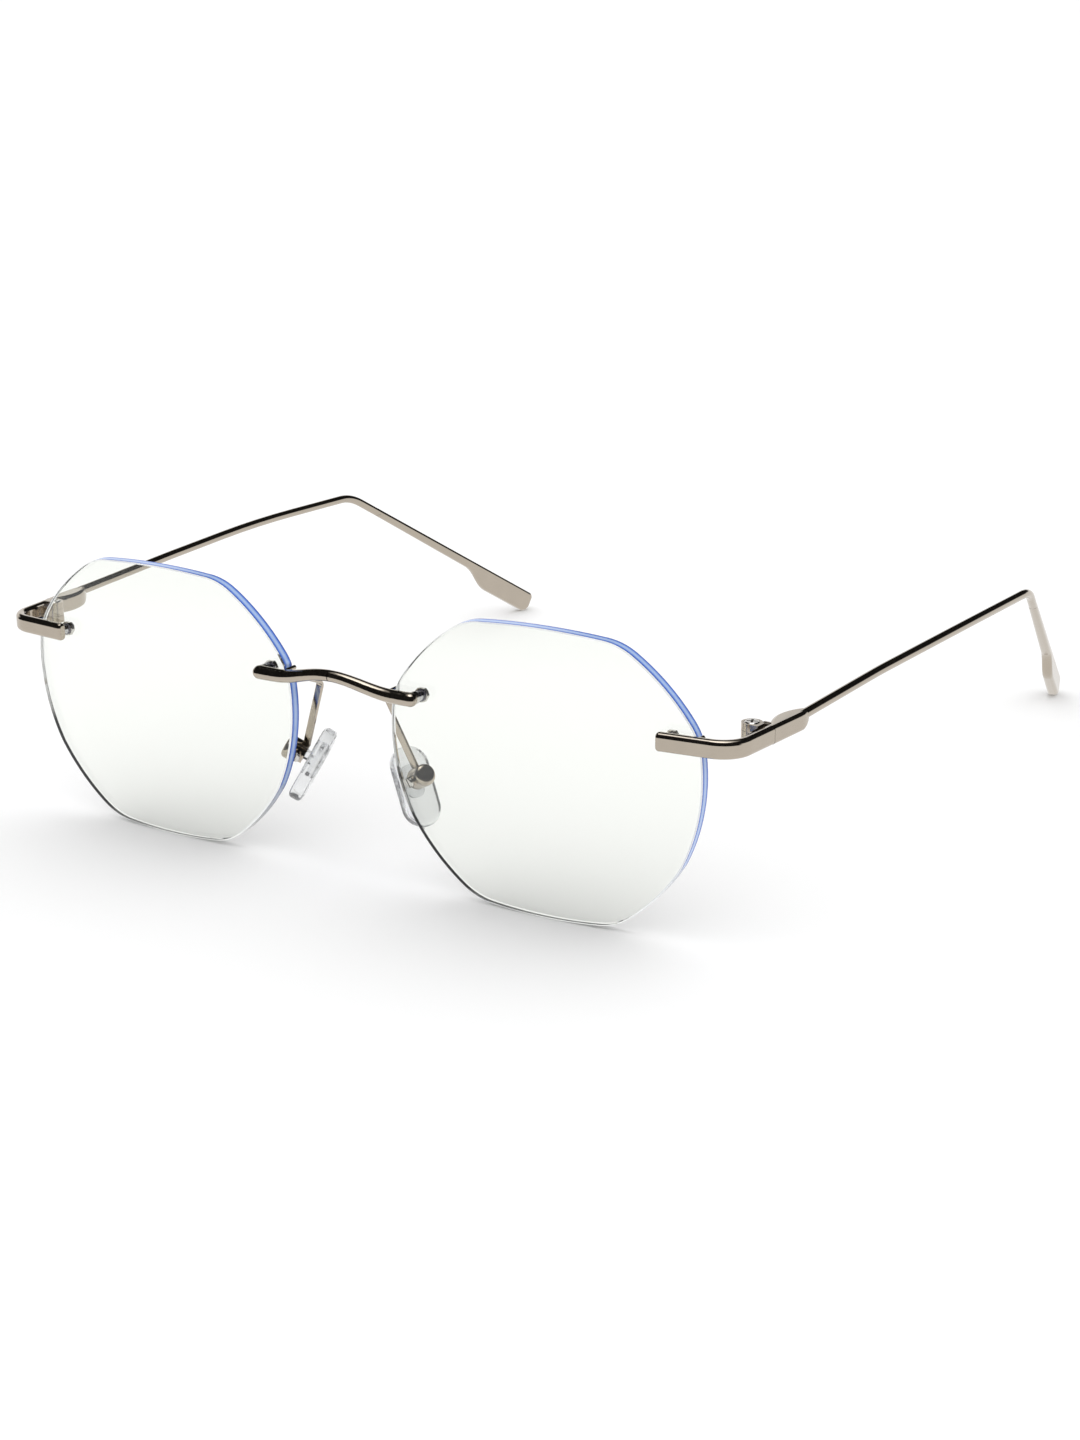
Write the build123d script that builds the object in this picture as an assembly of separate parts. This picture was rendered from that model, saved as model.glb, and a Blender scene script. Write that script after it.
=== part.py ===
from build123d import *
import os
from math import cos, pi, sqrt

# Rimless eyeglasses, standing open on the lens bottoms and the temple tips.
# Millimetres. +Z is up, the front faces -Y, the temples run towards +Y, and +X
# is the wearer's left. The left half is built, and the right half mirrors it.
# While building, y = 0 is the foremost point of the lens fronts.

# Driving dimensions
LENS_WIDTH = 52.0
BETWEEN_LENSES = 18.0
LENS_THICKNESS = 2.0
LENS_RADIUS = 260.0       # front surface curve
LENS_WRAP = 1.5           # degrees, outer edge swept back
LENS_TILT = 2.0           # degrees, bottom tucked in towards the cheek
LENS_CENTRE_Z = 22.2
LENS_CORNER = 10.0        # corner radius of the soft octagon
LENS_BEVEL = 0.2

MOUNT_Z = 30.95           # height of bridge ends, endpieces and lens holes
HOLE_RADIUS = 0.8
STUD_RADIUS = 0.5
STUD_REACH = 3.15         # stud length behind the lens front
BRIDGE_STUD_X = 13.8
ENDPIECE_STUD_X = 55.5

BRIDGE_END_RADIUS = 1.08
BRIDGE_MID_RADIUS = 0.9
BRIDGE_ARCH = 1.75        # rise of the bridge above its ends
BRIDGE_BOW = 0.85         # forward bow at the middle

BAR_Z = 31.05             # middle of the endpiece and the temple butt
BAR_HEIGHT = 2.8
BAR_THICKNESS = 1.55
BAR_EDGE = 0.68           # rounding of the bar's long edges
BAR_BEND_RADIUS = 4.2
ARM_X = 65.8              # centre of the endpiece's side arm, at its bend
ARM_SPLAY = 5.0           # degrees, the arm opens outward behind its bend
SEAM_Y = 11.0             # joint between endpiece and temple
SEAM_GAP = 0.06

HINGE_X = 63.25
HINGE_Y = 10.2
BARREL_RADIUS = 1.55
BARREL_BOTTOM = 29.35
BARREL_TOP = 32.75
KNUCKLE = 1.08            # height of each outer knuckle
KNUCKLE_GAP = 0.05
HINGE_PIN_RADIUS = 0.6
RUNNING = 0.03            # radial clearance of a turning pin

BUTT_END_Y = 21.6
WIRE_RADIUS = 0.75
BLADE_WIDTH = 4.2         # paddle at the temple tip
BLADE_THICKNESS = 2.1
BLADE_LENGTH = 17.0

PAD_LENGTH = 12.6
PAD_WIDTH = 6.8
PAD_THICKNESS = 2.7
PAD_BOX_RADIUS = 1.7
PAD_CENTRE = (9.75, 6.35, 14.75)
PAD_PIN_ABOVE = 0.95      # pad screw above the pad's middle
PAD_PIN_BEHIND = 1.6      # pad screw behind the pad's back

FRONT_Y = -73.855         # y of the lens fronts once the footprint is centred

parts = {}


def keep(name, shape):
    """File a piece under its node name, with the footprint centred."""
    parts[name] = Pos(0, FRONT_Y, 0) * shape


def keep_pair(name, shape):
    """File a left piece and its mirror image."""
    keep(name + "_left", shape)
    keep(name + "_right", mirror(shape, about=Plane.YZ))


def both_sides(shapes):
    """Left pieces and their mirror images as one group of separate solids."""
    solids = []
    for shape in shapes:
        solids += shape.solids() + mirror(shape, about=Plane.YZ).solids()
    return Compound(solids)


def unit(x, y, z):
    return Vector(x, y, z).normalized()


def rod(start, end, radius):
    """A plain cylinder from one point to another."""
    start, end = Vector(*start), Vector(*end)
    plane = Plane(origin=start, z_dir=end - start)
    return extrude(plane * Circle(radius), (end - start).length)


def rims_at(shape, spot):
    """Circular edges centred on one point."""
    rounds = shape.edges().filter_by(GeomType.CIRCLE)
    return [e for e in rounds if (e.arc_center - spot).length < 0.05]


# Lens -----------------------------------------------------------------------

# Notches in the lens edge, as (x, lowest z, highest z), for the bars' prongs
NOTCHES = [(9.15, 31.0, 33.6), (61.1, 31.5, 33.8)]
PRONGS = [(9.75, 31.5), (60.5, 32.0)]
PRONG_RADIUS = 0.35

LENS_X = (BETWEEN_LENSES + LENS_WIDTH) / 2
LENS_PLACE = (Pos(LENS_X, 0, LENS_CENTRE_Z) * Rotation(0, 0, LENS_WRAP)
              * Rotation(90 + LENS_TILT, 0, 0))


def lens_point(x, z, depth=0.0):
    """Point of the left lens behind (x, z), depth mm behind its front."""
    u, v = x - LENS_X, z - LENS_CENTRE_Z
    w = -(LENS_RADIUS - sqrt(LENS_RADIUS**2 - u * u - v * v))
    spot = (LENS_PLACE * Pos(u, v, w)).position
    normal = lens_normal(x, z)
    return spot - normal * depth


def lens_normal(x, z):
    """Outward normal of the left lens's front at (x, z)."""
    centre = (LENS_PLACE * Pos(0, 0, -LENS_RADIUS)).position
    u, v = x - LENS_X, z - LENS_CENTRE_Z
    w = -(LENS_RADIUS - sqrt(LENS_RADIUS**2 - u * u - v * v))
    return ((LENS_PLACE * Pos(u, v, w)).position - centre).normalized()


def lens_outline():
    """Soft octagon: four corners a side of the middle, joined by bowed arcs."""
    corners = [(12.5, 21.65), (25.2, 9.4), (22.5, -10.4), (11.6, -21.45)]
    bows = [0.7, 1.2, 1.7, 0.9, 0.8]
    corners = [(-x, y) for x, y in reversed(corners)] + corners
    # clockwise from the lower inner corner; the first four sides mirror the last
    bows = [bows[3], bows[2], bows[1], bows[0], bows[1], bows[2], bows[3], bows[4]]
    sides = []
    for i, bow in enumerate(bows):
        a, b = Vector(*corners[i]), Vector(*corners[(i + 1) % len(corners)])
        along = (b - a).normalized()
        out = Vector(-along.Y, along.X)
        sides.append(ThreePointArc(a, (a + b) / 2 + out * bow, b))
    face = make_face(Curve() + sides)
    return fillet(face.vertices(), LENS_CORNER)


def lens_ball(radius):
    """Ball behind the lens, with its poles and seam away from the lens."""
    return Pos(0, 0, -LENS_RADIUS) * Rotation(90, 0, 0) * Sphere(radius)


def make_lens():
    blank = extrude(lens_outline(), 8, both=True)
    lens = blank & lens_ball(LENS_RADIUS)
    lens = lens - lens_ball(LENS_RADIUS - LENS_THICKNESS)
    rims = [e for e in lens.edges() if abs(e.center().Z) < 60 and e.length > 1.0]
    flat = [e for e in rims if abs((e % 0.5).Z) < 0.35]
    lens = chamfer(flat, LENS_BEVEL)
    lens = LENS_PLACE * lens
    for x in (BRIDGE_STUD_X, ENDPIECE_STUD_X):
        lens = lens - rod(lens_point(x, MOUNT_Z, -2), lens_point(x, MOUNT_Z, 5), HOLE_RADIUS)
    for x, low, high in NOTCHES:
        lens = lens - Pos(x, 2, (low + high) / 2) * Box(2.2, 12, high - low)
    return lens


def prong(x, z, start_y):
    return rod((x, start_y, z), (x, LENS_THICKNESS + 0.4, z), PRONG_RADIUS)


# Bridge ---------------------------------------------------------------------

BRIDGE_Y = lens_point(BRIDGE_STUD_X, MOUNT_Z).Y - BRIDGE_END_RADIUS - 0.12
ARCH_HALF = 10.9          # half the length of the arch


def bridge_centre(x):
    """Centre line: straight over the lenses, arched up and forward between."""
    blend = (1 + cos(pi * min(abs(x), ARCH_HALF) / ARCH_HALF)) / 2
    return Vector(x, BRIDGE_Y - BRIDGE_BOW * blend, MOUNT_Z + BRIDGE_ARCH * blend)


def bridge_radius(x):
    blend = (1 + cos(pi * abs(x) / BRIDGE_STUD_X)) / 2
    return BRIDGE_END_RADIUS + (BRIDGE_MID_RADIUS - BRIDGE_END_RADIUS) * blend


def make_bridge():
    steps = 16
    rings = []
    for i in range(-steps, steps + 1):
        x = BRIDGE_STUD_X * i / steps
        ahead = bridge_centre(x + 0.1) - bridge_centre(x - 0.1)
        if abs(i) == steps:
            ahead = Vector(1, 0, 0)
        plane = Plane(origin=bridge_centre(x), x_dir=(0, 1, 0), z_dir=ahead)
        rings.append(plane * Circle(bridge_radius(x)))
    wire = loft(rings)
    for side in (-1, 1):
        end = bridge_centre(side * BRIDGE_STUD_X)
        wire = wire + Pos(*end) * Rotation(0, 90, 0) * Sphere(BRIDGE_END_RADIUS)
    x, z = PRONGS[0]
    pin = prong(x, z, BRIDGE_Y)
    return wire + pin + mirror(pin, about=Plane.YZ)


# Endpiece -------------------------------------------------------------------

STUD_SPOT = lens_point(ENDPIECE_STUD_X, MOUNT_Z)
STUD_NORMAL = lens_normal(ENDPIECE_STUD_X, MOUNT_Z)
FRONT_DIRECTION = unit(-STUD_NORMAL.Y, STUD_NORMAL.X, 0)


BAR_MIDDLE = STUD_SPOT + STUD_NORMAL * (BAR_THICKNESS / 2)
BAR_MIDDLE = Vector(BAR_MIDDLE.X, BAR_MIDDLE.Y, BAR_Z)
BAR_CORNER = BAR_MIDDLE + FRONT_DIRECTION * ((ARM_X - BAR_MIDDLE.X) / FRONT_DIRECTION.X)
# The arm, the hinge and the temple's butt are built along Y and then turned
# outward about the bar's corner
SPLAY = (Pos(BAR_CORNER.X, BAR_CORNER.Y, 0) * Rotation(0, 0, -ARM_SPLAY)
         * Pos(-BAR_CORNER.X, -BAR_CORNER.Y, 0))


def splayed(x, y, z):
    return (SPLAY * Pos(x, y, z)).position


def bar_section(place):
    return place * RectangleRounded(BAR_THICKNESS, BAR_HEIGHT, BAR_EDGE)


def make_endpiece():
    start = BAR_MIDDLE - FRONT_DIRECTION * 1.35
    end = splayed(ARM_X, SEAM_Y, BAR_Z)
    path = FilletPolyline(start, BAR_CORNER, end, radius=BAR_BEND_RADIUS)
    place = Plane(origin=start, x_dir=Vector(0, 0, 1).cross(FRONT_DIRECTION),
                  z_dir=FRONT_DIRECTION)
    bar = sweep(bar_section(place), path=path)
    nose = [e for e in bar.edges() if e.center().X < start.X + 0.02]
    bar = fillet(nose, 0.5)
    x, z = PRONGS[1]
    return bar + prong(x, z, BAR_CORNER.Y - 0.9)


# Hinge ----------------------------------------------------------------------

LOW_TOP = BARREL_BOTTOM + KNUCKLE
HIGH_BOTTOM = BARREL_TOP - KNUCKLE
HEAD_RADIUS = 1.12
HEAD_HEIGHT = 0.62
ARM_INNER = ARM_X - BAR_THICKNESS / 2


def hinge_cylinder(radius, low, high):
    return rod((HINGE_X, HINGE_Y, low), (HINGE_X, HINGE_Y, high), radius)


def make_endpiece_hinge():
    """Lower and upper knuckle, joined by a leaf along the arm's inside."""
    hinge = None
    for low, high in ((BARREL_BOTTOM, LOW_TOP), (HIGH_BOTTOM, BARREL_TOP)):
        knuckle = hinge_cylinder(BARREL_RADIUS, low, high)
        web = Pos((HINGE_X + ARM_INNER) / 2, HINGE_Y - 0.5, (low + high) / 2) * Box(
            ARM_INNER - HINGE_X, 1.9, high - low)
        hinge = knuckle + web if hinge is None else hinge + knuckle + web
    leaf = Pos(ARM_INNER - 0.19, HINGE_Y - 2.2, BAR_Z) * Box(0.38, 2.6, 2.4)
    hinge = hinge + leaf
    bore = hinge_cylinder(HINGE_PIN_RADIUS, BARREL_BOTTOM - 1, BARREL_TOP + 1)
    seat = hinge_cylinder(HEAD_RADIUS + 0.04, BARREL_TOP - HEAD_HEIGHT, BARREL_TOP + 1)
    return SPLAY * (hinge - bore - seat)


def make_hinge_screw():
    """Pin with a sunk cylindrical head and a cross recess."""
    shank = hinge_cylinder(HINGE_PIN_RADIUS, BARREL_BOTTOM - 0.12, BARREL_TOP - 0.3)
    head = hinge_cylinder(HEAD_RADIUS, BARREL_TOP - HEAD_HEIGHT, BARREL_TOP + 0.12)
    head = chamfer(head.edges().group_by(Axis.Z)[-1], 0.14)
    for turn in (25, 115):
        slot = Pos(HINGE_X, HINGE_Y, BARREL_TOP + 0.12) * Rotation(0, 0, turn)
        head = head - slot * Box(1.6, 0.32, 0.7)
    return SPLAY * (shank + head)


# Temple ---------------------------------------------------------------------

BUTT_FRONT = SEAM_Y + SEAM_GAP
BUTT_TOP = BAR_Z + BAR_HEIGHT / 2
WIRE_START = splayed(ARM_X - 0.1, BUTT_END_Y - 2.4, BUTT_TOP - WIRE_RADIUS)
EAR = Vector(69.9, 102.0, 31.9)
TIP = Vector(58.4, 150.4, 2.342)
TAIL = (TIP - EAR).normalized()
TAIL_START = 8.0          # distance along the tail where the wire flattens


def make_butt():
    """Bar that meets the endpiece, half-round inside, rounded down to the wire."""
    outer, inner = ARM_X + BAR_THICKNESS / 2, ARM_INNER
    rear = outer - 0.1
    plan = Curve() + [
        Line((inner, BUTT_FRONT), (outer, BUTT_FRONT)),
        Line((outer, BUTT_FRONT), (outer, BUTT_END_Y - 3)),
        TangentArc((outer, BUTT_END_Y - 3), (rear - 0.55, BUTT_END_Y), tangent=(0, 1)),
        Line((rear - 0.55, BUTT_END_Y), (inner + 0.1, BUTT_END_Y)),
        ThreePointArc((inner + 0.1, BUTT_END_Y), (inner - 1.45, 17.6), (inner, BUTT_FRONT + 1.1)),
        Line((inner, BUTT_FRONT + 1.1), (inner, BUTT_FRONT)),
    ]
    low, heel = BAR_Z - BAR_HEIGHT / 2, BUTT_TOP - 2 * WIRE_RADIUS
    slab = extrude(Pos(0, 0, low) * make_face(plan), BAR_HEIGHT)
    side = Curve() + [
        Line((BUTT_FRONT, low), (BUTT_END_Y - 3.4, low)),
        ThreePointArc((BUTT_END_Y - 3.4, low), (BUTT_END_Y - 1.0, low + 0.45),
                      (BUTT_END_Y, heel)),
        Line((BUTT_END_Y, heel), (BUTT_END_Y, BUTT_TOP)),
        Line((BUTT_END_Y, BUTT_TOP), (BUTT_FRONT, BUTT_TOP)),
        Line((BUTT_FRONT, BUTT_TOP), (BUTT_FRONT, low)),
    ]
    keep_zone = extrude(Plane.YZ.offset(ARM_X) * make_face(side), 6, both=True)
    butt = slab & keep_zone
    long_edges = [e for e in butt.edges()
                  if e.center().Y > BUTT_FRONT + 0.02 and abs((e % 0.5).Z) < 0.98]
    return SPLAY * fillet(long_edges, 0.6)


def make_wire():
    """Gently bowed wire with the ear bend, as straight runs and tangent arcs."""
    stations = [WIRE_START, Vector(68.4, 44.0, 32.45), Vector(70.0, 72.0, 32.8), EAR,
                EAR + TAIL * 14]
    path = FilletPolyline(*stations, radius=[260, 300, 11])
    place = Plane(origin=path @ 0, z_dir=path % 0)
    return sweep(place * Circle(WIRE_RADIUS), path=path)


def make_tail():
    """Flattened tail: its upper edge stays straight, its lower edge steps out."""
    total = (TIP - EAR).length
    down = (Vector(0, 0, -1) + TAIL * TAIL.Z).normalized()
    place = Plane(origin=EAR, x_dir=TAIL, z_dir=TAIL.cross(down))
    thick = BLADE_THICKNESS / 2
    wedge = Plane(origin=EAR, x_dir=TAIL, z_dir=down) * make_face(Polyline(
        (TAIL_START, -WIRE_RADIUS), (total + 1, -thick), (total + 1, thick),
        (TAIL_START, WIRE_RADIUS), close=True))
    top = -WIRE_RADIUS
    shoulder = total - BLADE_LENGTH
    neck = WIRE_RADIUS + 0.25
    low = top + BLADE_WIDTH
    edge = [
        Line((TAIL_START, WIRE_RADIUS), (shoulder - 4, neck)),
        Spline((shoulder - 4, neck), (shoulder, (neck + low) / 2 + 0.05), (shoulder + 4, low),
               tangents=[(1, 0.04), (1, 0)]),
        Line((shoulder + 4, low), (total, low)),
        Line((total, low), (total, top)),
        Line((total, top), (TAIL_START, top)),
        Line((TAIL_START, top), (TAIL_START, WIRE_RADIUS)),
    ]
    face = make_face(Curve() + edge)
    upper, lower = face.vertices().group_by(Axis.X)[-1].sort_by(Axis.Y)
    face = fillet(upper, 1.0)
    lower = face.vertices().group_by(Axis.Y)[-1].sort_by(Axis.X)[-1]
    face = fillet(lower, 1.7)
    tail = extrude(place * face, 3, both=True) & extrude(wedge, 9, both=True)
    rims = []
    for f in tail.faces():
        if abs(f.normal_at().dot(place.z_dir)) > 0.99:
            rims += f.edges()
    return fillet(rims, 0.7)


def make_temple():
    return make_butt() + make_wire() + make_tail()


def make_temple_hinge():
    """Middle knuckle and the leaf that is brazed inside the temple butt."""
    low, high = LOW_TOP + KNUCKLE_GAP, HIGH_BOTTOM - KNUCKLE_GAP
    knuckle = hinge_cylinder(BARREL_RADIUS, low, high)
    neck_end = HINGE_Y + BARREL_RADIUS + 0.25
    neck = Pos((HINGE_X + ARM_INNER - 0.3) / 2, (HINGE_Y + neck_end) / 2, (low + high) / 2) * Box(
        ARM_INNER - 0.3 - HINGE_X, neck_end - HINGE_Y, high - low)
    leaf_end = BUTT_FRONT + 2.2
    leaf = Pos((HINGE_X + ARM_INNER) / 2 + 0.25, (neck_end + leaf_end) / 2, BAR_Z) * Box(
        ARM_INNER - HINGE_X - 0.5, leaf_end - neck_end, 2.5)
    leaf = fillet(leaf.edges().filter_by(Axis.X), 0.5)
    bore = hinge_cylinder(HINGE_PIN_RADIUS + RUNNING, low - 1, high + 1)
    return SPLAY * (knuckle + neck + leaf - bore)


# Fasteners through the lenses -----------------------------------------------

BUSH_FLANGE = 0.25
WASHER_HEIGHT = 0.12
NUT_HEIGHT = 1.05
NUT_RADIUS = 1.2


def on_stud(x, radius, start, end):
    """Cylinder on the stud line at x, between two depths behind the lens front."""
    return rod(lens_point(x, MOUNT_Z, start), lens_point(x, MOUNT_Z, end), radius)


def make_stud(x, bar):
    collar = on_stud(x, 1.0, -0.8, 0) if x < LENS_X else None
    stud = on_stud(x, STUD_RADIUS, -0.8, STUD_REACH)
    stud = stud + collar if collar else stud
    return stud - bar


def make_bush(x):
    flange_end = LENS_THICKNESS + BUSH_FLANGE
    bush = on_stud(x, HOLE_RADIUS, 0.02, flange_end)
    bush = bush + on_stud(x, 0.95, LENS_THICKNESS + 0.01, flange_end)
    return bush - on_stud(x, STUD_RADIUS, -1, 6)


def make_washer(x):
    start = LENS_THICKNESS + BUSH_FLANGE
    ring = on_stud(x, 1.1, start, start + WASHER_HEIGHT)
    return ring - on_stud(x, STUD_RADIUS, -1, 6)


def make_nut(x):
    """Hexagonal cap nut with a domed, rounded cap."""
    start = LENS_THICKNESS + BUSH_FLANGE + WASHER_HEIGHT
    place = Plane(origin=lens_point(x, MOUNT_Z, start), z_dir=-lens_normal(x, MOUNT_Z))
    hexagon = extrude(place * RegularPolygon(NUT_RADIUS, 6), 0.55)
    skirt = on_stud(x, NUT_RADIUS * 0.97, start, start + 0.55)
    cap = on_stud(x, 0.98, start + 0.4, start + NUT_HEIGHT)
    cap = fillet(cap.edges().group_by(Axis.Y)[-1], 0.45)
    return (hexagon & skirt) + cap - on_stud(x, STUD_RADIUS, -1, STUD_REACH)


# Nose pads ------------------------------------------------------------------

PAD_MIDDLE = Vector(*PAD_CENTRE)
PAD_LONG = unit(0.442, -0.192, -0.876)
PAD_FACE = unit(-0.798, 0.363, -0.482)          # towards the nose
PAD_FACE = (PAD_FACE - PAD_LONG * PAD_FACE.dot(PAD_LONG)).normalized()
PAD_STAND = PAD_THICKNESS / 2 + PAD_PIN_BEHIND
BOX_SPOT = PAD_MIDDLE - PAD_LONG * PAD_PIN_ABOVE - PAD_FACE * PAD_STAND
PIN_AXIS = Vector(0, -1, 0)
PIN_AXIS = (PIN_AXIS - PAD_FACE * PIN_AXIS.dot(PAD_FACE)).normalized()
CUP_BORE = 1.2
PAD_GAP = 0.42            # between the cup's rim and the pad's back
BOX_FRONT = PAD_BOX_RADIUS + 0.25
EYE_RADIUS = 0.66
PAD_PIN_RADIUS = 0.38


def make_pad():
    """Moulded pad with round ends and a rounded rim."""
    place = Plane(origin=PAD_MIDDLE, x_dir=-PAD_LONG, z_dir=PAD_FACE)
    outline = RectangleRounded(PAD_LENGTH, PAD_WIDTH, 3.0)
    pad = extrude(place * outline, PAD_THICKNESS / 2, both=True)
    rims = []
    for f in pad.faces():
        if abs(f.normal_at().dot(place.z_dir)) > 0.99:
            rims += f.edges()
    pad = fillet(rims, 0.8)
    return pad - make_insert()


def make_insert():
    """Plate inside the pad, and the eye that stands into the cup."""
    centre = BOX_SPOT + PAD_FACE * PAD_STAND
    place = Plane(origin=centre, x_dir=PAD_LONG, z_dir=PAD_FACE)
    plate = extrude(place * RectangleRounded(5.2, 3.0, 1.2), 0.3, both=True)
    reach = PAD_STAND
    eye = Plane(origin=BOX_SPOT, x_dir=PAD_FACE, z_dir=PIN_AXIS)
    tongue = extrude(eye * Circle(EYE_RADIUS), 0.5, both=True)
    tongue = tongue + extrude(eye * Pos(reach / 2, 0) * Rectangle(reach, 2 * EYE_RADIUS),
                              0.5, both=True)
    hole = extrude(eye * Circle(PAD_PIN_RADIUS + RUNNING), 2, both=True)
    return plate + tongue - hole


def make_pad_box():
    """Small domed cup with a boss for the pad screw on its front."""
    mouth = BOX_SPOT + PAD_FACE * (PAD_PIN_BEHIND - PAD_GAP)
    back = BOX_SPOT - PAD_FACE * 2.0
    cup = rod(back, mouth, PAD_BOX_RADIUS)
    cup = fillet(rims_at(cup, back), 0.7)
    boss = rod(BOX_SPOT, BOX_SPOT + PIN_AXIS * BOX_FRONT, 0.98)
    cup = cup + boss
    cup = cup - rod(BOX_SPOT - PAD_FACE * 0.95, mouth + PAD_FACE, CUP_BORE)
    return cup - rod(BOX_SPOT - PIN_AXIS * 1.62, BOX_SPOT + PIN_AXIS * 4, PAD_PIN_RADIUS)


def make_pad_screw():
    """Slotted cheese-head screw, its head on the boss."""
    seat = BOX_SPOT + PIN_AXIS * BOX_FRONT
    shank = rod(BOX_SPOT - PIN_AXIS * 1.6, seat, PAD_PIN_RADIUS)
    head = rod(seat, seat + PIN_AXIS * 0.5, 0.82)
    top = seat + PIN_AXIS * 0.5
    head = chamfer(rims_at(head, top), 0.12)
    place = Plane(origin=top, x_dir=PAD_LONG, z_dir=PIN_AXIS)
    slot = extrude(place * Rectangle(3, 0.28), 0.26, both=True)
    return shank + (head - slot)


def make_pad_arm(bridge, box):
    """Thin strip, back from the bridge and then down to the top of the cup."""
    root = bridge_centre(5.4) + Vector(0, 0.3, -0.4)
    knee = Vector(5.95, 3.85, 29.5)
    end = BOX_SPOT + PAD_FACE * 0.65 - PAD_LONG * 1.45
    path = FilletPolyline(root, knee, end, radius=1.8)
    flat = unit(0.8, 0.6, 0)
    ahead = path % 0
    flat = (flat - ahead * flat.dot(ahead)).normalized()
    place = Plane(origin=root, x_dir=flat, z_dir=ahead)
    strip = sweep(place * RectangleRounded(1.25, 0.55, 0.2), path=path)
    bore = rod(BOX_SPOT - PAD_FACE * 0.95, BOX_SPOT + PAD_FACE * 3, CUP_BORE)
    pieces = (strip - bridge - box - bore).solids()
    return pieces.sort_by(SortBy.VOLUME)[-1]


# Assembly -------------------------------------------------------------------

bridge = make_bridge()
endpiece = make_endpiece()
pad_box = make_pad_box()

keep_pair("lens", make_lens())
keep("bridge", bridge)
keep_pair("endpiece", endpiece)
keep_pair("endpiece_hinge", make_endpiece_hinge())
keep_pair("hinge_screw", make_hinge_screw())
keep_pair("temple", make_temple())
keep_pair("temple_hinge", make_temple_hinge() - make_temple())

STUD_X = (BRIDGE_STUD_X, ENDPIECE_STUD_X)
bars = {BRIDGE_STUD_X: bridge, ENDPIECE_STUD_X: endpiece}
keep("lens_studs", both_sides([make_stud(x, bars[x]) for x in STUD_X]))
keep("lens_bushes", both_sides([make_bush(x) for x in STUD_X]))
keep("nut_washers", both_sides([make_washer(x) for x in STUD_X]))
keep("cap_nuts", both_sides([make_nut(x) for x in STUD_X]))

keep_pair("nose_pad", make_pad())
keep_pair("pad_insert", make_insert())
keep_pair("pad_box", pad_box)
keep_pair("pad_screw", make_pad_screw())
keep_pair("pad_arm", make_pad_arm(bridge, pad_box))

os.makedirs("parts", exist_ok=True)
for name, shape in parts.items():
    export_step(shape, f"parts/{name}.step")

whole = Compound([s for shape in parts.values() for s in shape.solids()]).bounding_box()
print("box", whole.min, whole.max)
for name in ("lens_left", "temple_left"):
    print(name, "stands at", round(parts[name].bounding_box().min.Z, 3))
print("pad pin", BOX_SPOT + Vector(0, FRONT_Y, 0), "axis", PIN_AXIS)
print("hinge", splayed(HINGE_X, HINGE_Y, BAR_Z))
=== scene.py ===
import math

import bpy
from mathutils import Matrix, Vector


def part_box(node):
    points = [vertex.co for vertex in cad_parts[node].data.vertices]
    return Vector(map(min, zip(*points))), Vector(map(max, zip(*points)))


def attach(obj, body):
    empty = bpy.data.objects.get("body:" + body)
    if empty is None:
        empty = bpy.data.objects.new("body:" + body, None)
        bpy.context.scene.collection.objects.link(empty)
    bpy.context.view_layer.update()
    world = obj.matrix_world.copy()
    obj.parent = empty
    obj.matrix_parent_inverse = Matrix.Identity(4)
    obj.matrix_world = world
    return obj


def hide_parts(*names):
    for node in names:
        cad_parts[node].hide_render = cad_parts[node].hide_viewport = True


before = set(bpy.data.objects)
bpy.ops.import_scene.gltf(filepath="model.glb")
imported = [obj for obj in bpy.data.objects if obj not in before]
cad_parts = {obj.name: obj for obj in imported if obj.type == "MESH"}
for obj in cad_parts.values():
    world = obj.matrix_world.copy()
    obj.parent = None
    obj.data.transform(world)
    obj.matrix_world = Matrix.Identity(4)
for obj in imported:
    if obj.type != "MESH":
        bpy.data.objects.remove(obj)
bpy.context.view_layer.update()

bl_info = {
    "name": "Rimless eyeglasses",
    "version": (1, 0, 0),
    "blender": (4, 5, 0),
    "location": "3D View > Sidebar > Eyeglasses",
    "description": "Finishes a pair of rimless eyeglasses and sets up a plain studio for them",
    "category": "Object",
}

SIDES = ("left", "right")

# Ball whose surface is the front of a lens, for the left side; the right mirrors it
LENS_BALL_CENTRE = (0.0282, 0.185895, 0.03127)
LENS_BALL_RADIUS = 0.26
LENS_THICKNESS = 0.002

# Painted dark reflection: a dark line on the slopes of the lens edge, seen through the lens
PAINTED_SLOPE_REFLECTION = (0.01, 0.01, 0.02)
# Half widths of the fine joint line at the crest of the bridge, core and fade
SEAM_CORE, SEAM_FADE = 0.00004, 0.00012

# Direction along a left pad, top to bottom, and out of its nose face
PAD_LONG = Vector((0.442, -0.192, -0.876)).normalized()
PAD_FACE = Vector((-0.798, 0.363, -0.482))
PAD_FACE = (PAD_FACE - PAD_LONG * PAD_FACE.dot(PAD_LONG)).normalized()
PAD_CROWN = 0.00022         # rise of the nose face at its middle
PAD_RIM = 0.0007            # rounding of the rims
PAD_SEAT = 0.00016          # depth of the low seat on the back

# Brightness of the sky as polished metal mirrors it, and as the camera sees it
MIRRORED_SKY = 2.4
VISIBLE_SKY = 1.05


# Settings --------------------------------------------------------------------

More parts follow.
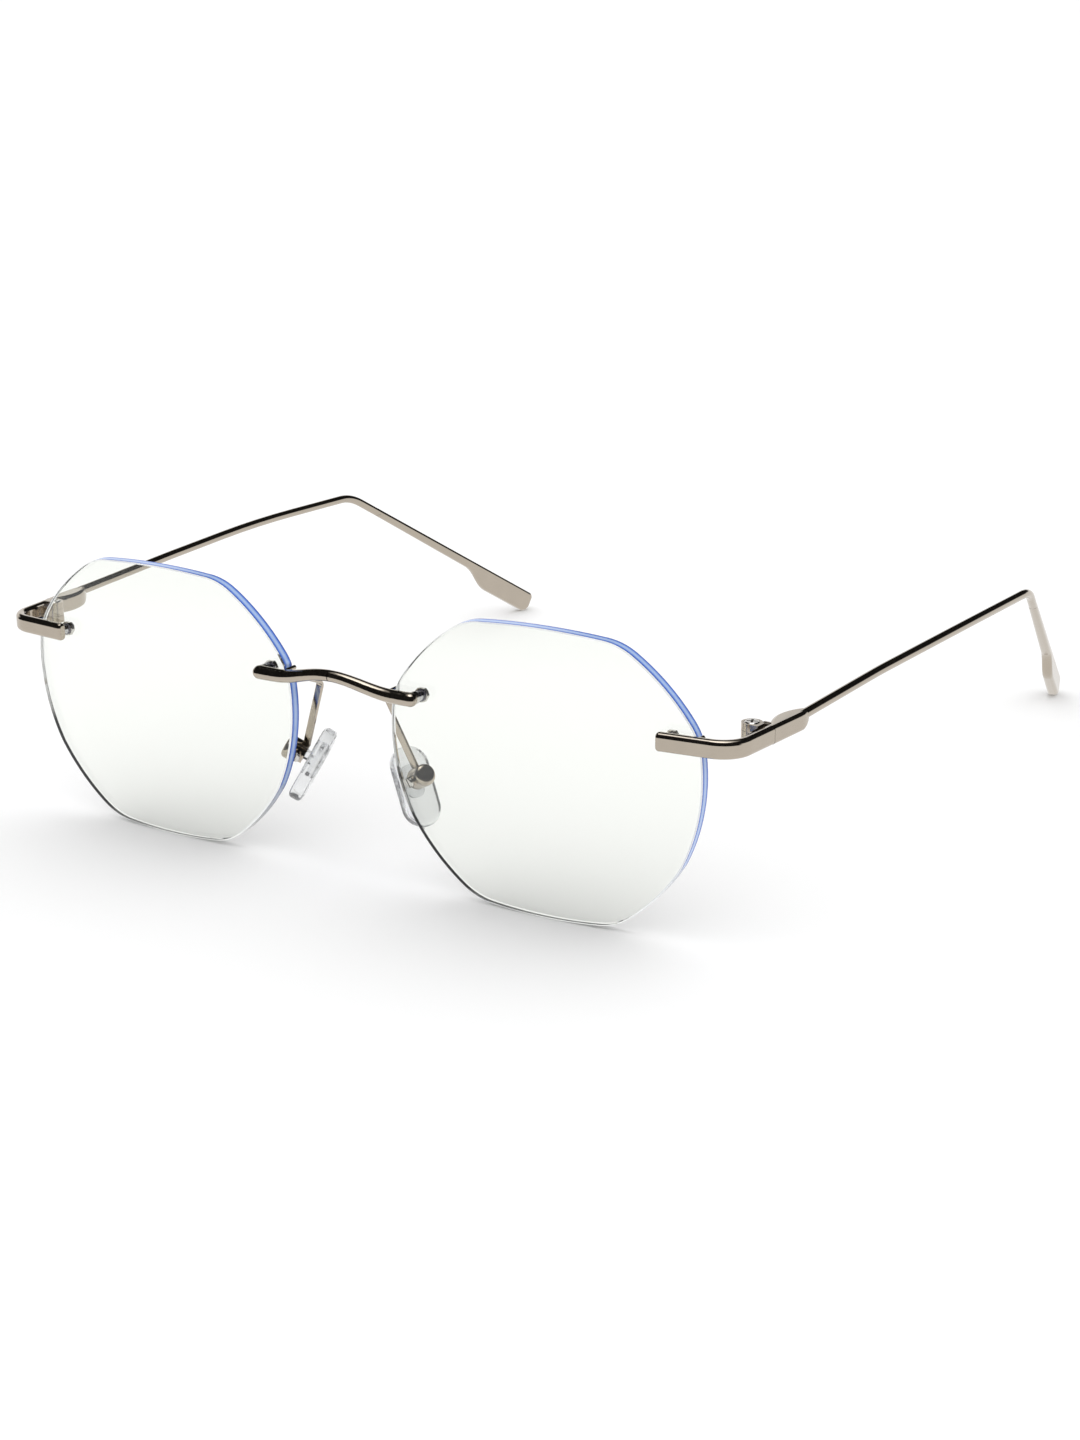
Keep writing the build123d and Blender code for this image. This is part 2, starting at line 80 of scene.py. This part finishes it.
class LensFinish(bpy.types.PropertyGroup):
    """How the lenses look."""
    tint: bpy.props.FloatVectorProperty(
        name="Lens tint", description="What a lens does to light that passes through it",
        subtype="COLOR", size=3, min=0, max=1, default=(0.945, 0.96, 0.925))
    edge: bpy.props.FloatVectorProperty(
        name="Edge colour", description="Main colour of the polished lens edge",
        subtype="COLOR", size=3, min=0, max=1, default=(0.11, 0.25, 0.82))
    edge_light: bpy.props.FloatVectorProperty(
        name="Edge light line", description="Pale line that runs along the lens edge",
        subtype="COLOR", size=3, min=0, max=1, default=(0.5, 0.66, 1.0))
    edge_dark: bpy.props.FloatVectorProperty(
        name="Edge dark line", description="Dark line at both corners of the lens edge",
        subtype="COLOR", size=3, min=0, max=1, default=(0.02, 0.06, 0.4))
    # painted light: the pale colour of the edge seen through the lens stands in for light in the
    # glass, not for the edge's own blue
    painted_light_inside_edge: bpy.props.FloatVectorProperty(
        name="Edge from inside", description="Colour of the edge seen through the lens",
        subtype="COLOR", size=3, min=0, max=1, default=(0.97, 0.98, 1.0))
    edge_cover: bpy.props.FloatProperty(
        name="Edge cover", description="How much of its colour the edge shows of its own",
        subtype="FACTOR", min=0, max=1, default=0.75)


class MetalFinish(bpy.types.PropertyGroup):
    """How the plated metal looks."""
    nickel: bpy.props.FloatVectorProperty(
        name="Nickel", description="Colour of the polished bars, wires and bridge",
        subtype="COLOR", size=3, min=0, max=1, default=(0.47, 0.415, 0.345))
    steel: bpy.props.FloatVectorProperty(
        name="Steel", description="Colour of the screws, studs, washers and nuts",
        subtype="COLOR", size=3, min=0, max=1, default=(0.64, 0.62, 0.59))
    roughness: bpy.props.FloatProperty(
        name="Roughness", description="How dull the polish is",
        subtype="FACTOR", min=0, max=1, default=0.09)


class PadShape(bpy.types.PropertyGroup):
    """Size and colour of the nose pads."""
    length: bpy.props.FloatProperty(
        name="Length", description="Length of a nose pad", unit="LENGTH", default=0.0126)
    width: bpy.props.FloatProperty(
        name="Width", description="Width of a nose pad", unit="LENGTH", default=0.0068)
    thickness: bpy.props.FloatProperty(
        name="Thickness", description="Thickness of a nose pad at its middle",
        unit="LENGTH", default=0.0027)
    silicone: bpy.props.FloatVectorProperty(
        name="Silicone", description="Cast of the clear silicone",
        subtype="COLOR", size=3, min=0, max=1, default=(0.93, 0.94, 0.945))


class StudioSettings(bpy.types.PropertyGroup):
    """Camera, floor and light."""
    azimuth: bpy.props.FloatProperty(
        name="Azimuth", description="How far the camera stands round to the left lens's side",
        subtype="ANGLE", default=math.radians(31.25))
    elevation: bpy.props.FloatProperty(
        name="Elevation", description="How far the camera looks down",
        subtype="ANGLE", default=math.radians(17.57))
    distance: bpy.props.FloatProperty(
        name="Distance", description="From the camera to the point it looks at",
        unit="LENGTH", default=0.43925)
    target: bpy.props.FloatVectorProperty(
        name="Target", description="Point the camera looks at",
        subtype="XYZ", size=3, default=(0.0, -0.015455, 0.00948))
    lens: bpy.props.FloatProperty(
        name="Focal length", description="Focal length on a 36 mm sensor, in millimetres",
        default=64.28)
    floor: bpy.props.FloatVectorProperty(
        name="Floor colour", description="Colour of the studio floor",
        subtype="COLOR", size=3, min=0, max=1, default=(0.93, 0.93, 0.93))
    dome: bpy.props.FloatProperty(
        name="Dome strength", description="Brightness of the light from all round",
        default=1.15)
    lamp: bpy.props.FloatProperty(
        name="Lamp power", description="Power of the large lamp overhead",
        unit="POWER", default=1.6)


# Node helpers ----------------------------------------------------------------

def new_material(name):
    """A material with one Principled shader, and its node tree."""
    material = bpy.data.materials.new(name)
    material.use_nodes = True
    tree = material.node_tree
    tree.nodes.clear()
    skin = tree.nodes.new("ShaderNodeBsdfPrincipled")
    out = tree.nodes.new("ShaderNodeOutputMaterial")
    tree.links.new(skin.outputs["BSDF"], out.inputs["Surface"])
    return material, tree, skin


def add(tree, kind, inputs=None, **settings):
    """A node with its settings; each input is a number, a colour or a socket."""
    node = tree.nodes.new(kind)
    for key, value in settings.items():
        setattr(node, key, value)
    for key, value in (inputs or {}).items():
        if isinstance(value, bpy.types.NodeSocket):
            tree.links.new(value, node.inputs[key])
        else:
            node.inputs[key].default_value = value
    return node


def sum_of(tree, operation, first, second=0.0):
    """One math operation on numbers or sockets."""
    return add(tree, "ShaderNodeMath", {0: first, 1: second}, operation=operation).outputs[0]


def remap(tree, value, low, high, to_low, to_high, smooth=False):
    """Map low..high onto to_low..to_high, held at both ends."""
    node = add(tree, "ShaderNodeMapRange",
               {"Value": value, "From Min": low, "From Max": high,
                "To Min": to_low, "To Max": to_high},
               interpolation_type="SMOOTHSTEP" if smooth else "LINEAR")
    return node.outputs[0]


def noise(tree, coords, scale, detail=3.0, rough=0.5):
    """Cloudy noise; scale is features per metre."""
    node = add(tree, "ShaderNodeTexNoise",
               {"Vector": coords, "Scale": scale, "Detail": detail, "Roughness": rough})
    return node.outputs[0]


def ramp(tree, value, stops, mode="LINEAR"):
    """Colour ramp through (place, colour) stops."""
    node = add(tree, "ShaderNodeValToRGB", {0: value})
    node.color_ramp.interpolation = mode
    spots = node.color_ramp.elements
    while len(spots) < len(stops):
        spots.new(0.5)
    for spot, (place, colour) in zip(spots, stops):
        spot.position = place
        spot.color = (*colour, 1)
    return node.outputs[0]


def blend_colours(tree, share, first, second):
    """The first colour where share is 0, the second where it is 1."""
    node = add(tree, "ShaderNodeMix", {0: share}, data_type="RGBA")
    for key, value in ((6, first), (7, second)):
        if isinstance(value, bpy.types.NodeSocket):
            tree.links.new(value, node.inputs[key])
        else:
            node.inputs[key].default_value = (*value, 1)
    return node.outputs[2]


def bump(tree, skin, height, strength, distance):
    """Shallow relief on the shader's normal."""
    node = add(tree, "ShaderNodeBump",
               {"Height": height, "Strength": strength, "Distance": distance})
    tree.links.new(node.outputs[0], skin.inputs["Normal"])


def shade(colour, factor):
    """A colour made lighter or darker."""
    return tuple(min(1.0, c * factor) for c in colour)


def dress(material, *names):
    """Give CAD nodes or pieces one material."""
    for name in names:
        slots = bpy.data.objects[name].data.materials
        slots.clear()
        slots.append(material)


# Finishes --------------------------------------------------------------------

def plated_metal(name, colour, roughness, fine, seam=False):
    """Polished plate: faint cloudy colour, hairlines in the polish, tiny ripples."""
    material, tree, skin = new_material(name)
    place = add(tree, "ShaderNodeTexCoord").outputs["Object"]
    cloud = noise(tree, place, 260, 2)
    plate = blend_colours(tree, cloud, shade(colour, 0.94), shade(colour, 1.06))
    if seam:
        across = add(tree, "ShaderNodeSeparateXYZ", {0: place}).outputs[0]
        line = remap(tree, sum_of(tree, "ABSOLUTE", across), SEAM_CORE, SEAM_FADE, 1, 0)
        plate = blend_colours(tree, line, plate, shade(colour, 0.12))
    tree.links.new(plate, skin.inputs["Base Color"])
    stretched = add(tree, "ShaderNodeMapping", {"Vector": place, "Scale": (900, 220, 5200)})
    hair = noise(tree, stretched.outputs[0], 1.0, 3, 0.6)
    dull = sum_of(tree, "ADD", remap(tree, hair, 0.3, 0.7, roughness * 0.75, roughness * 1.35),
                  remap(tree, cloud, 0.45, 0.75, 0, roughness * 0.3))
    tree.links.new(dull, skin.inputs["Roughness"])
    bump(tree, skin, noise(tree, place, fine, 2), 0.05, 0.00002)
    skin.inputs["Metallic"].default_value = 1.0
    return material


def lens_glass(finish):
    """Clear lens with a faint cast, an edge with lines that run along it, and painted light with
    a painted dark reflection on the edge seen through the lens.
    """
    material, tree, skin = new_material("clear_lens")
    coords = add(tree, "ShaderNodeTexCoord")
    facing = add(tree, "ShaderNodeSeparateXYZ", {0: coords.outputs["Normal"]})
    upright = sum_of(tree, "ABSOLUTE", facing.outputs[1])
    edge = remap(tree, upright, 0.35, 0.8, 1, 0, smooth=True)
    inside = add(tree, "ShaderNodeNewGeometry").outputs["Backfacing"]
    # seen from inside the lens, the edge gets painted pale light, with a painted dark reflection
    # on its lower slopes; seen from outside it has its colour, except along the bottom
    pale = sum_of(tree, "MULTIPLY", edge, inside)
    rim = sum_of(tree, "SUBTRACT", edge, pale)
    rim = sum_of(tree, "MULTIPLY", rim,
                 remap(tree, facing.outputs[2], -0.85, -0.35, 0, 1, smooth=True))

    spot = add(tree, "ShaderNodeSeparateXYZ", {0: coords.outputs["Object"]})
    folded = add(tree, "ShaderNodeCombineXYZ",
                 {0: sum_of(tree, "ABSOLUTE", spot.outputs[0]),
                  1: spot.outputs[1], 2: spot.outputs[2]})
    away = add(tree, "ShaderNodeVectorMath",
               {0: folded.outputs[0], 1: LENS_BALL_CENTRE}, operation="DISTANCE")
    through = remap(tree, away.outputs["Value"], LENS_BALL_RADIUS,
                    LENS_BALL_RADIUS - LENS_THICKNESS, 0, 1)
    wander = noise(tree, coords.outputs["Object"], 90, 2)
    through = sum_of(tree, "ADD", through, remap(tree, wander, 0, 1, -0.04, 0.04))
    lines = ramp(tree, through, [
        (0.0, finish.edge_dark), (0.1, finish.edge_dark), (0.24, finish.edge),
        (0.42, finish.edge_light), (0.58, finish.edge_light), (0.78, finish.edge),
        (0.9, finish.edge_dark), (1.0, finish.edge_dark)])
    smear = noise(tree, coords.outputs["Object"], 55, 4, 0.6)
    body = blend_colours(tree, smear, tuple(finish.tint), shade(finish.tint, 0.99))
    # painted light and painted dark reflection for the edge seen from inside, placed by how its
    # face tilts
    slope_for_painted_edge = remap(tree, facing.outputs[2], -1, 1, 0, 1)
    painted_inside_edge = ramp(tree, slope_for_painted_edge, [
        (0.0, finish.painted_light_inside_edge), (0.56, finish.painted_light_inside_edge), (0.64, PAINTED_SLOPE_REFLECTION),
        (0.92, PAINTED_SLOPE_REFLECTION), (0.96, finish.painted_light_inside_edge)])
    body = blend_colours(tree, pale, body, painted_inside_edge)
    tree.links.new(blend_colours(tree, rim, body, lines), skin.inputs["Base Color"])
    # the pale share, which is the painted inside-edge light, also lets less light through
    cover = sum_of(tree, "ADD", sum_of(tree, "MULTIPLY", rim, finish.edge_cover),
                   sum_of(tree, "MULTIPLY", pale, 0.7))
    tree.links.new(sum_of(tree, "SUBTRACT", 1.0, cover), skin.inputs["Transmission Weight"])
    dull = remap(tree, smear, 0.3, 0.7, 0.08, 0.18)
    tree.links.new(sum_of(tree, "MULTIPLY", rim, dull), skin.inputs["Roughness"])
    skin.inputs["IOR"].default_value = 1.5
    return material


def silicone(shape):
    """Clear moulded silicone with soft clouds and a fine satin skin."""
    material, tree, skin = new_material("clear_silicone")
    place = add(tree, "ShaderNodeTexCoord").outputs["Object"]
    cloud = noise(tree, place, 420, 3)
    tree.links.new(blend_colours(tree, cloud, shade(shape.silicone, 0.96), tuple(shape.silicone)),
                   skin.inputs["Base Color"])
    tree.links.new(remap(tree, cloud, 0.3, 0.7, 0.05, 0.14), skin.inputs["Roughness"])
    bump(tree, skin, noise(tree, place, 1500, 2), 0.12, 0.00004)
    skin.inputs["Transmission Weight"].default_value = 0.88
    skin.inputs["IOR"].default_value = 1.41
    return material


def hard_clear(name, colour, clear, rough):
    """Tinted clear plastic for the small inner pieces."""
    material, tree, skin = new_material(name)
    place = add(tree, "ShaderNodeTexCoord").outputs["Object"]
    cloud = noise(tree, place, 900, 3)
    tree.links.new(blend_colours(tree, cloud, shade(colour, 0.85), colour),
                   skin.inputs["Base Color"])
    tree.links.new(remap(tree, cloud, 0.3, 0.7, rough * 0.6, rough * 1.4),
                   skin.inputs["Roughness"])
    skin.inputs["Transmission Weight"].default_value = clear
    skin.inputs["IOR"].default_value = 1.5
    return material


# Modelling helpers -----------------------------------------------------------

def clear_selection():
    if bpy.context.mode != "OBJECT":
        bpy.ops.object.mode_set(mode="OBJECT")
    bpy.ops.object.select_all(action="DESELECT")


def pick(piece, kind, test):
    """In edit mode, select only the faces or edges whose corner points pass the test."""
    bpy.ops.object.mode_set(mode="EDIT")
    bpy.ops.mesh.select_mode(type=kind)
    bpy.ops.mesh.select_all(action="DESELECT")
    bpy.ops.object.mode_set(mode="OBJECT")
    mesh = piece.data
    for part in (mesh.edges if kind == "EDGE" else mesh.polygons):
        part.select = test([mesh.vertices[v].co for v in part.vertices])
    bpy.ops.object.mode_set(mode="EDIT")


def apply_modifiers(piece):
    bpy.ops.object.mode_set(mode="OBJECT")
    for modifier in list(piece.modifiers):
        bpy.ops.object.modifier_apply(modifier=modifier.name)


def settle(piece, place):
    """Put a piece at its place and leave that place in its mesh."""
    piece.matrix_world = place
    bpy.context.view_layer.update()
    bpy.ops.object.transform_apply(location=True, rotation=True, scale=True)


def mirrored_copy(piece, name):
    """A mirror image of a finished piece, with its own mesh."""
    clear_selection()
    twin = piece.copy()
    twin.data = piece.data.copy()
    twin.name = twin.data.name = name
    bpy.context.collection.objects.link(twin)
    twin.select_set(True)
    bpy.context.view_layer.objects.active = twin
    settle(twin, Matrix.Scale(-1, 4, (1, 0, 0)))
    bpy.ops.object.mode_set(mode="EDIT")
    bpy.ops.mesh.select_all(action="SELECT")
    bpy.ops.mesh.normals_make_consistent(inside=False)
    bpy.ops.object.mode_set(mode="OBJECT")
    return twin


# Operators -------------------------------------------------------------------

class EYEGLASSES_OT_lenses(bpy.types.Operator):
    """Give both lenses their clear finish and coloured edge"""
    bl_idname = "eyeglasses.lenses"
    bl_label = "Lenses"

    def execute(self, context):
        dress(lens_glass(context.scene.lens_finish), "lens_left", "lens_right")
        return {"FINISHED"}


class EYEGLASSES_OT_frame_metal(bpy.types.Operator):
    """Plate the bridge, endpieces, temples and pad arms"""
    bl_idname = "eyeglasses.frame_metal"
    bl_label = "Frame metal"

    def execute(self, context):
        finish = context.scene.metal_finish
        nickel = plated_metal("polished_nickel", tuple(finish.nickel), finish.roughness, 1300)
        dress(plated_metal("bridge_nickel", tuple(finish.nickel), finish.roughness, 1300,
                           seam=True), "bridge")
        dress(nickel, *[f"{part}_{side}" for side in SIDES
                                  for part in ("endpiece", "temple", "pad_arm", "pad_box")])
        return {"FINISHED"}


class EYEGLASSES_OT_hinges(bpy.types.Operator):
    """Plate the hinge knuckles and leaves, a little duller than the bars"""
    bl_idname = "eyeglasses.hinges"
    bl_label = "Hinges"

    def execute(self, context):
        finish = context.scene.metal_finish
        metal = plated_metal("hinge_nickel", shade(finish.nickel, 1.04),
                             finish.roughness * 1.7, 2600)
        dress(metal, *[f"{part}_{side}" for side in SIDES
                       for part in ("endpiece_hinge", "temple_hinge")])
        return {"FINISHED"}


class EYEGLASSES_OT_fasteners(bpy.types.Operator):
    """Finish the screws, studs, washers, nuts and lens bushes"""
    bl_idname = "eyeglasses.fasteners"
    bl_label = "Fasteners"

    def execute(self, context):
        finish = context.scene.metal_finish
        steel = plated_metal("turned_steel", tuple(finish.steel), finish.roughness * 1.4, 3200)
        dress(steel, "lens_studs", "nut_washers", "cap_nuts",
              *[f"{part}_{side}" for side in SIDES for part in ("hinge_screw", "pad_screw")])
        dress(hard_clear("lilac_nylon", (0.78, 0.75, 0.93), 0.8, 0.1), "lens_bushes")
        return {"FINISHED"}


class EYEGLASSES_OT_nose_pads(bpy.types.Operator):
    """Model the moulded nose pads and finish the clear cores inside them"""
    bl_idname = "eyeglasses.nose_pads"
    bl_label = "Nose pads"

    def execute(self, context):
        shape = context.scene.pad_shape
        half = Vector((shape.length, shape.width, shape.thickness)) / 2
        flat = half.z - PAD_CROWN
        clear_selection()
        bpy.ops.mesh.primitive_cube_add(size=1, location=(0, 0, 0))
        pad = context.object
        pad.name = pad.data.name = "moulded_pad_left"
        bpy.ops.object.mode_set(mode="EDIT")
        bpy.ops.mesh.select_all(action="SELECT")
        bpy.ops.transform.resize(value=(half.x * 2, half.y * 2, flat * 2))
        # round ends
        pick(pad, "EDGE", lambda p: abs(p[0].z - p[1].z) > flat)
        bpy.ops.mesh.bevel(offset=half.y * 0.9, segments=12, affect="EDGES")
        # rounded rims
        pick(pad, "EDGE", lambda p: abs(p[0].z - p[1].z) < 1e-6 and abs(p[0].z) > flat * 0.9)
        bpy.ops.mesh.bevel(offset=PAD_RIM, segments=5, affect="EDGES")
        # crowned nose face and a low seat round the core on the back
        for thickness, lift in ((0.0005, 0.5), (0.0006, 0.32), (0.0006, 0.18)):
            pick(pad, "FACE", lambda p: len(p) > 8 and p[0].z > flat * 0.9)
            bpy.ops.mesh.inset(thickness=thickness)
            bpy.ops.transform.translate(value=(0, 0, PAD_CROWN * lift))
        pick(pad, "FACE", lambda p: len(p) > 8 and p[0].z < -flat * 0.9)
        bpy.ops.mesh.inset(thickness=0.0006)
        bpy.ops.mesh.inset(thickness=0.0003)
        bpy.ops.transform.translate(value=(0, 0, PAD_SEAT))
        bpy.ops.object.mode_set(mode="OBJECT")
        smooth = pad.modifiers.new("rounding", "SUBSURF")
        smooth.levels = smooth.render_levels = 2
        apply_modifiers(pad)
        bpy.ops.object.shade_smooth()

        low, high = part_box("nose_pad_left")
        across = PAD_FACE.cross(PAD_LONG)
        turn = Matrix((PAD_LONG, across, PAD_FACE)).transposed().to_4x4()
        settle(pad, Matrix.Translation((low + high) / 2) @ turn)
        twin = mirrored_copy(pad, "moulded_pad_right")
        finish = silicone(shape)
        for side, piece in zip(SIDES, (pad, twin)):
            dress(finish, piece.name)
            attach(piece, f"pad_{side}")
            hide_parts(f"nose_pad_{side}")
        dress(hard_clear("clear_core", (0.93, 0.94, 0.95), 0.95, 0.06),
              "pad_insert_left", "pad_insert_right")
        return {"FINISHED"}


class EYEGLASSES_OT_studio(bpy.types.Operator):
    """Add the floor, the soft light and the camera"""
    bl_idname = "eyeglasses.studio"
    bl_label = "Studio"

    def execute(self, context):
        studio = context.scene.studio_settings
        clear_selection()
        bpy.ops.mesh.primitive_plane_add(size=40, location=(0, 0, 0))
        floor = context.object
        floor.name = "studio_floor"
        paper, tree, skin = new_material("floor_paper")
        place = add(tree, "ShaderNodeTexCoord").outputs["Object"]
        tree.links.new(blend_colours(tree, noise(tree, place, 3, 2),
                                     shade(studio.floor, 0.995), tuple(studio.floor)),
                       skin.inputs["Base Color"])
        skin.inputs["Roughness"].default_value = 0.9
        skin.inputs["Specular IOR Level"].default_value = 0.1
        dress(paper, floor.name)
        floor.visible_glossy = False
        self.dome(context, studio)

        bpy.ops.object.light_add(type="AREA", location=(-0.35, -0.25, 1.7))
        lamp = context.object
        lamp.name = "overhead_lamp"
        lamp.data.shape = "DISK"
        lamp.data.size = 1.3
        lamp.data.energy = studio.lamp
        aim = Vector((0, 0, 0)) - lamp.location
        lamp.rotation_euler = aim.to_track_quat("-Z", "Y").to_euler()

        target = Vector(studio.target)
        a, e = studio.azimuth, studio.elevation
        back = Vector((math.sin(a) * math.cos(e), -math.cos(a) * math.cos(e), math.sin(e)))
        bpy.ops.object.camera_add(location=target + back * studio.distance)
        camera = context.object
        camera.name = "studio_camera"
        camera.rotation_euler = (-back).to_track_quat("-Z", "Y").to_euler()
        camera.data.sensor_width = 36
        camera.data.lens = studio.lens
        camera.data.clip_start = 0.01
        context.scene.camera = camera
        context.scene.view_settings.view_transform = "Standard"
        return {"FINISHED"}

    def dome(self, context, studio):
        """White all round, with the darker bands that polished metal mirrors."""
        world = bpy.data.worlds.new("studio_dome")
        context.scene.world = world
        world.use_nodes = True
        tree = world.node_tree
        tree.nodes.clear()
        way = add(tree, "ShaderNodeTexCoord").outputs["Generated"]
        part = add(tree, "ShaderNodeSeparateXYZ", {0: way})
        height = sum_of(tree, "ARCSINE", part.outputs[2])
        height = remap(tree, height, -math.pi / 2, math.pi / 2, 0, 1)
        white, pale, grey, black = [(v, v, v) for v in (1.0, 0.42, 0.2, 0.004)]

        def up(degrees):
            return 0.5 + degrees / 180

        front = ramp(tree, height, [
            (0.0, pale), (up(-14), pale), (up(-10), black), (up(64), black),
            (up(68), white), (1.0, white)])
        low, high = [ramp(tree, height, [
            (0.0, pale), (up(start), pale), (up(start + 5), black), (up(57), black),
            (up(66), grey), (1.0, white)]) for start in (5, 19)]
        # behind on the wearer's right the pale part reaches higher
        aside = remap(tree, part.outputs[0], -0.42, -0.36, 1, 0, smooth=True)
        rear = blend_colours(tree, aside, low, high)
        behind = remap(tree, part.outputs[1], -0.15, 0.15, 0, 1, smooth=True)
        bands = blend_colours(tree, behind, front, rear)
        mirrored = add(tree, "ShaderNodeBackground", {"Color": bands, "Strength": MIRRORED_SKY})
        plain = add(tree, "ShaderNodeBackground",
                    {"Color": (1, 1, 1, 1), "Strength": studio.dome})
        seen = add(tree, "ShaderNodeBackground",
                   {"Color": (1, 1, 1, 1), "Strength": VISIBLE_SKY})
        path = add(tree, "ShaderNodeLightPath")
        lit = add(tree, "ShaderNodeMixShader",
                  {0: path.outputs["Is Diffuse Ray"], 1: seen.outputs[0], 2: plain.outputs[0]})
        both = add(tree, "ShaderNodeMixShader",
                   {0: path.outputs["Is Glossy Ray"], 1: lit.outputs[0],
                    2: mirrored.outputs[0]})
        add(tree, "ShaderNodeOutputWorld", {"Surface": both.outputs[0]})


class EYEGLASSES_PT_build(bpy.types.Panel):
    """Lists the settings and the steps that build the eyeglasses."""
    bl_idname = "EYEGLASSES_PT_build"
    bl_label = "Rimless eyeglasses"
    bl_space_type = "VIEW_3D"
    bl_region_type = "UI"
    bl_category = "Eyeglasses"

    def draw(self, context):
        for name in SETTINGS:
            box = self.layout.box()
            group = getattr(context.scene, name)
            for key in group.bl_rna.properties.keys():
                if key not in ("rna_type", "name"):
                    box.prop(group, key)
        for step in STEPS:
            self.layout.operator(step.bl_idname)


SETTINGS = {"lens_finish": LensFinish, "metal_finish": MetalFinish,
            "pad_shape": PadShape, "studio_settings": StudioSettings}
STEPS = (EYEGLASSES_OT_lenses, EYEGLASSES_OT_frame_metal, EYEGLASSES_OT_hinges,
         EYEGLASSES_OT_fasteners, EYEGLASSES_OT_nose_pads, EYEGLASSES_OT_studio)


def register():
    for kind in (*SETTINGS.values(), *STEPS, EYEGLASSES_PT_build):
        bpy.utils.register_class(kind)
    for name, kind in SETTINGS.items():
        setattr(bpy.types.Scene, name, bpy.props.PointerProperty(type=kind))


def unregister():
    for name in SETTINGS:
        delattr(bpy.types.Scene, name)
    for kind in reversed((*SETTINGS.values(), *STEPS, EYEGLASSES_PT_build)):
        bpy.utils.unregister_class(kind)


def main():
    register()
    bpy.ops.eyeglasses.lenses()
    bpy.ops.eyeglasses.frame_metal()
    bpy.ops.eyeglasses.hinges()
    bpy.ops.eyeglasses.fasteners()
    bpy.ops.eyeglasses.nose_pads()
    bpy.ops.eyeglasses.studio()


if __name__ == "__main__":
    main()
